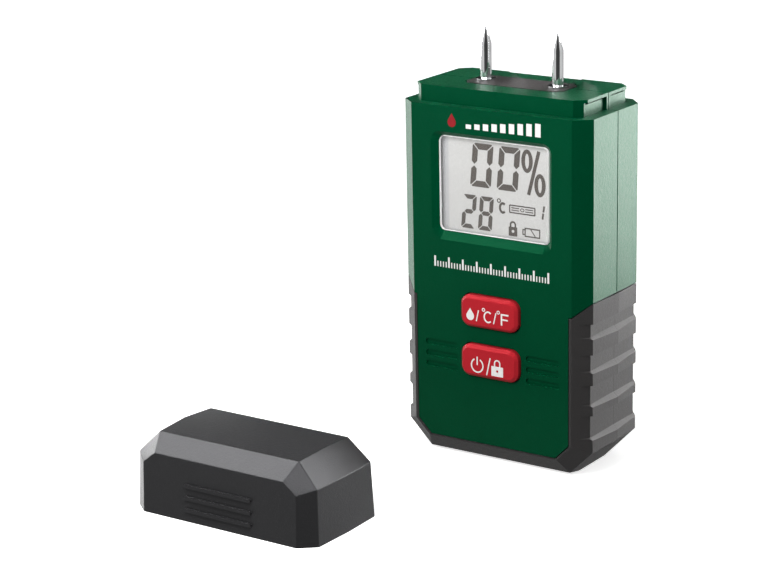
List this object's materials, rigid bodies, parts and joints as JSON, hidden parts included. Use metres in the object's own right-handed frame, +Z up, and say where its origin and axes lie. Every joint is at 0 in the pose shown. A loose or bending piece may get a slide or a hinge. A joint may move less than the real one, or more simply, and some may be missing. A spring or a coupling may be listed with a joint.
{
  "type": "pin moisture meter",
  "caption": "Pocket pin-type moisture meter: two-part casing with soft grips, display, two sprung buttons, two pointed electrodes, a battery door and a separate protective cap.",
  "frame": {"origin": "centre of the flat strip under the meter, on the surface that it stands on", "axes": "+Z up along the casing towards the electrodes; -Y out of the display; +X to the right seen from the front"},
  "size_m": [0.0747, 0.0862, 0.0935],
  "materials": {
    "green_plastic": "moulded plastic with a fine satin texture",
    "grip_rubber": "soft matt overmould",
    "cap_plastic": "moulded dark plastic, spark-eroded texture",
    "red_plastic": "satin red keys with printed symbols",
    "clear_plastic": "clear polished cover",
    "display": "pale grey liquid crystal display",
    "white_plastic": "plain moulded plastic",
    "dark_plastic": "plain moulded plastic",
    "pin_steel": "polished steel",
    "brass": "turned brass",
    "spring_steel": "nickel-plated strip and wire",
    "board": "solder-masked fibreglass board",
    "cell_sleeve": "printed foil sleeve",
    "screw_steel": "zinc-plated steel"
  },
  "bodies": {
    "casing": {"front_shell": "green_plastic", "rear_shell": "green_plastic", "front_grip": "grip_rubber", "rear_grip": "grip_rubber", "display_window": "clear_plastic", "lcd_panel": "display", "lcd_holder": "white_plastic", "lcd_connector": "dark_plastic", "controller_chip": "dark_plastic", "amplifier_chip": "dark_plastic", "temperature_sensor": "dark_plastic", "mode_switch": "dark_plastic", "power_switch": "dark_plastic", "electrode_holder": "dark_plastic", "circuit_board": "board", "quartz_crystal": "spring_steel", "left_pin": "pin_steel", "right_pin": "pin_steel", "left_socket": "brass", "right_socket": "brass", "left_contact_strip": "spring_steel", "right_contact_strip": "spring_steel", "battery_1": "cell_sleeve", "battery_2": "cell_sleeve", "battery_link": "spring_steel", "negative_contact": "spring_steel", "positive_contact": "spring_steel", "lower_spring": "spring_steel", "upper_spring": "spring_steel", "board_screw_left": "screw_steel", "board_screw_right": "screw_steel", "case_screw_1": "screw_steel", "case_screw_2": "screw_steel", "case_screw_3": "screw_steel", "case_screw_4": "screw_steel"},
    "mode_button": {"mode_button": "red_plastic", "mode_plunger": "white_plastic"},
    "power_button": {"power_button": "red_plastic", "power_plunger": "white_plastic"},
    "battery_door": {"battery_door": "green_plastic"},
    "protective_cap": {"protective_cap": "cap_plastic"}
  },
  "joints": [
    {"name": "mode_press", "type": "slide", "parent": "casing", "child": "mode_button", "axis": [0, 1, 0], "range_m": [0, 0.0006], "stiffness_N_per_m": 2000},
    {"name": "power_press", "type": "slide", "parent": "casing", "child": "power_button", "axis": [0, 1, 0], "range_m": [0, 0.0006], "stiffness_N_per_m": 2000},
    {"name": "door_tilt", "type": "hinge", "parent": "casing", "child": "battery_door", "pos_m": [0, 0.0126, 0.0096], "axis": [-1, 0, 0], "range_deg": [0, 60]},
    {"name": "cap_lift", "type": "slide", "parent": "casing", "child": "protective_cap", "axis": [0.1808, 0.388, 0.9038], "range_m": [0, 0.1549]}
  ]
}
